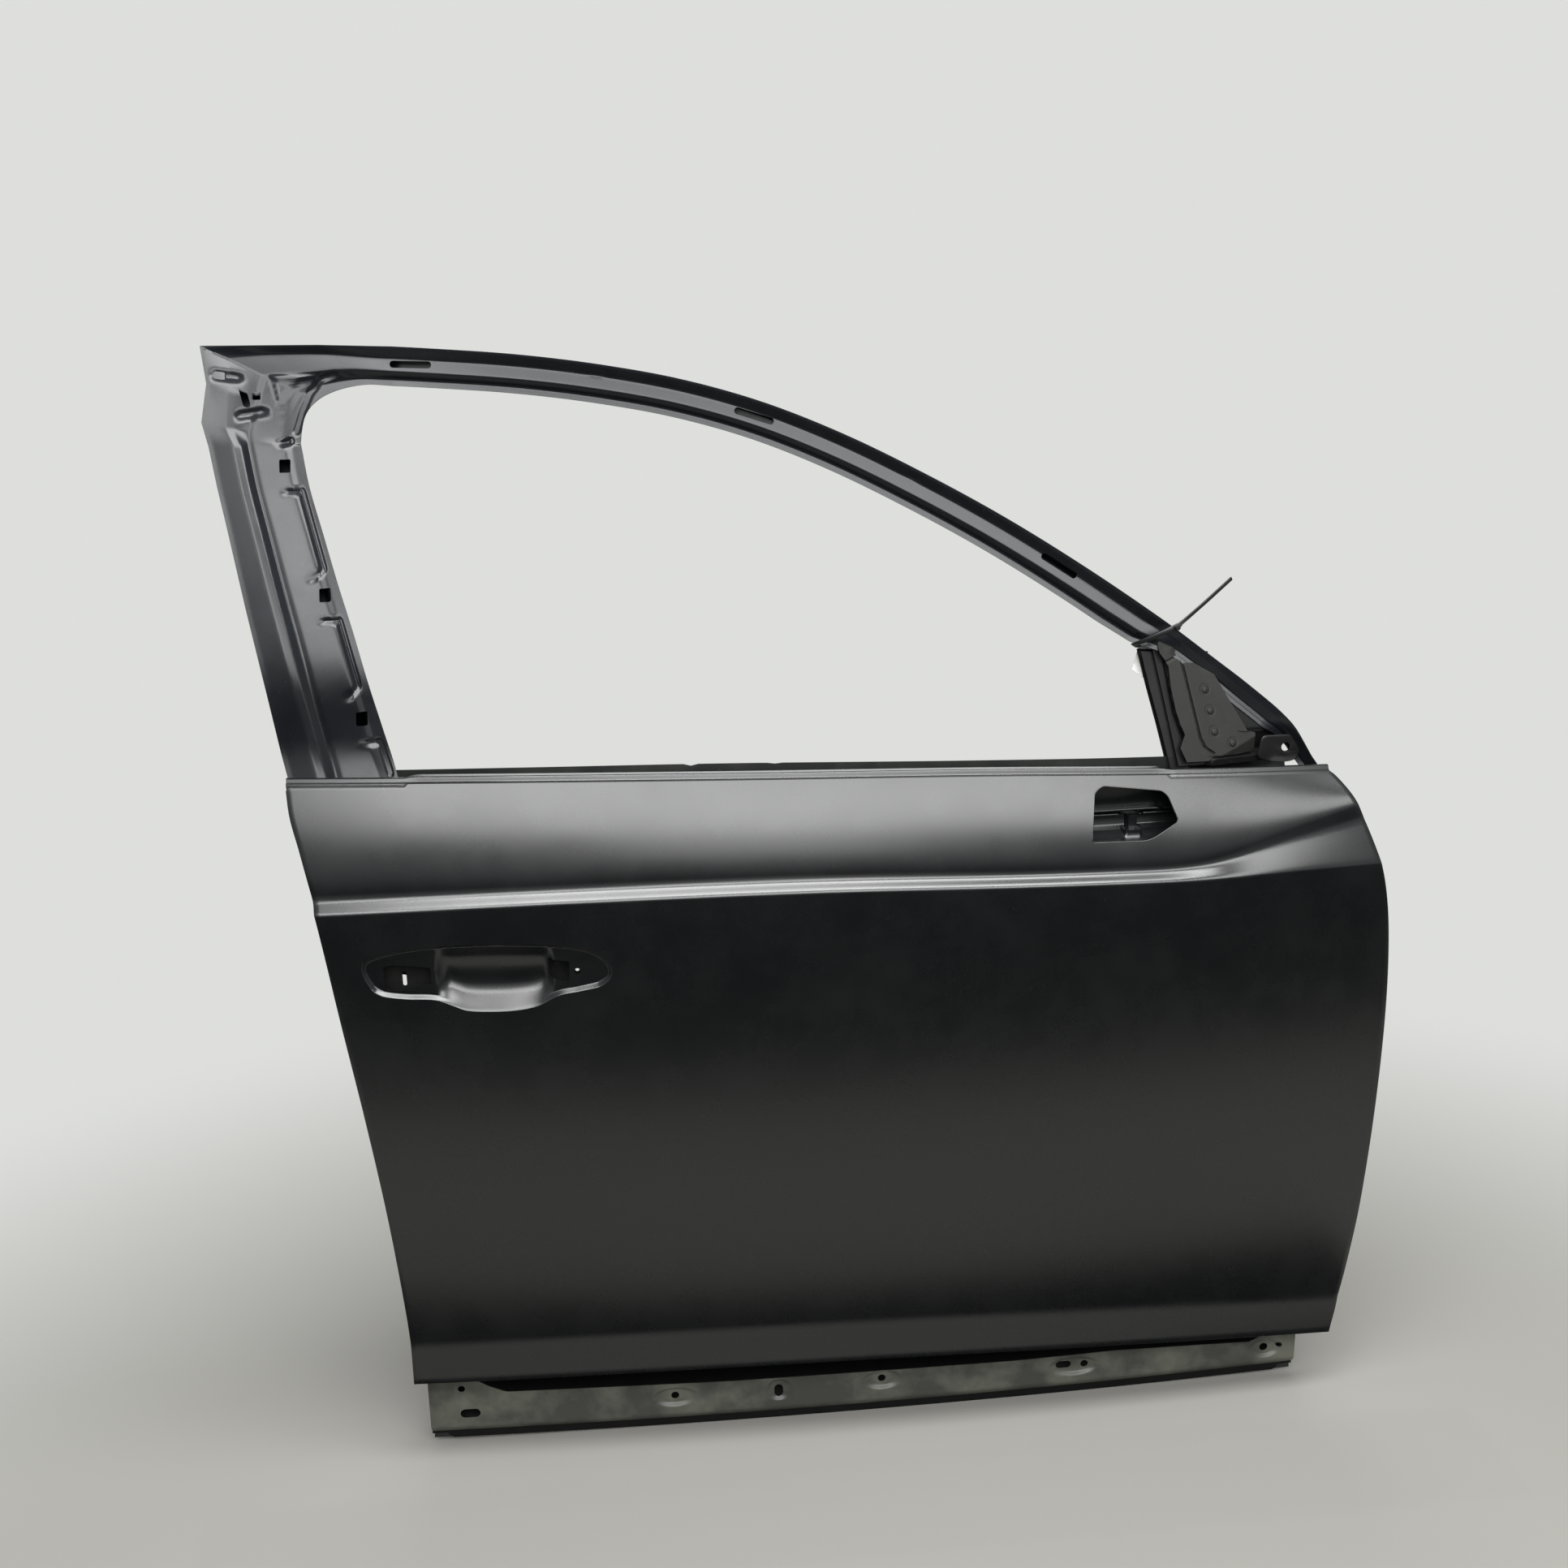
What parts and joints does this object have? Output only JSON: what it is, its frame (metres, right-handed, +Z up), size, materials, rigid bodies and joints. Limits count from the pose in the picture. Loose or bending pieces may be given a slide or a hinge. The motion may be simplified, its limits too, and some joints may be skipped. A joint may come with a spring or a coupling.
{
  "type": "car door shell",
  "caption": "Bare steel shell of a front right-hand car door: skin, inner panel, stamped window frame and hidden reinforcements.",
  "frame": {"origin": "centre of the upper hinge's mount face on the outside of the front wall, between its two bolt holes", "axes": "+X to the front of the car, square to the hinge faces; +Y into the car, across the door's thickness; +Z up"},
  "size_m": [1.2139, 0.2674, 1.197],
  "materials": {
    "skin_coat": "satin black primer coat on pressed steel",
    "frame_coat": "satin black primer coat on pressed steel",
    "inner_coat": "dull black primer coat, scuffed",
    "bracket_coat": "dull black primer coat",
    "gusset_coat": "dull olive-grey primer coat",
    "channel_coat": "black coat on rolled channel",
    "nut_metal": "plain plated steel"
  },
  "bodies": {
    "root": {"outer_panel": "skin_coat", "inner_panel": "inner_coat", "sill_panel": "inner_coat", "window_frame_outer": "frame_coat", "window_frame_inner": "frame_coat", "belt_reinforcement_outer": "bracket_coat", "belt_reinforcement_inner": "bracket_coat", "hinge_reinforcement_upper": "bracket_coat", "hinge_reinforcement_lower": "bracket_coat", "hinge_nut_upper_low": "nut_metal", "hinge_nut_upper_high": "nut_metal", "hinge_nut_lower_low": "nut_metal", "hinge_nut_lower_high": "nut_metal", "check_strap_reinforcement": "bracket_coat", "latch_reinforcement": "bracket_coat", "impact_beam": "bracket_coat", "beam_bracket_rear": "bracket_coat", "beam_bracket_front": "bracket_coat", "front_glass_channel": "channel_coat", "rear_glass_channel": "channel_coat", "front_channel_bracket": "bracket_coat", "rear_channel_bracket": "bracket_coat", "corner_gusset": "gusset_coat", "gusset_rivet_1": "gusset_coat", "gusset_rivet_2": "gusset_coat", "gusset_rivet_3": "gusset_coat", "gusset_rivet_4": "gusset_coat", "quarter_bracket": "bracket_coat", "handle_reinforcement": "bracket_coat", "mirror_bracket": "bracket_coat"}
  },
  "joints": []
}
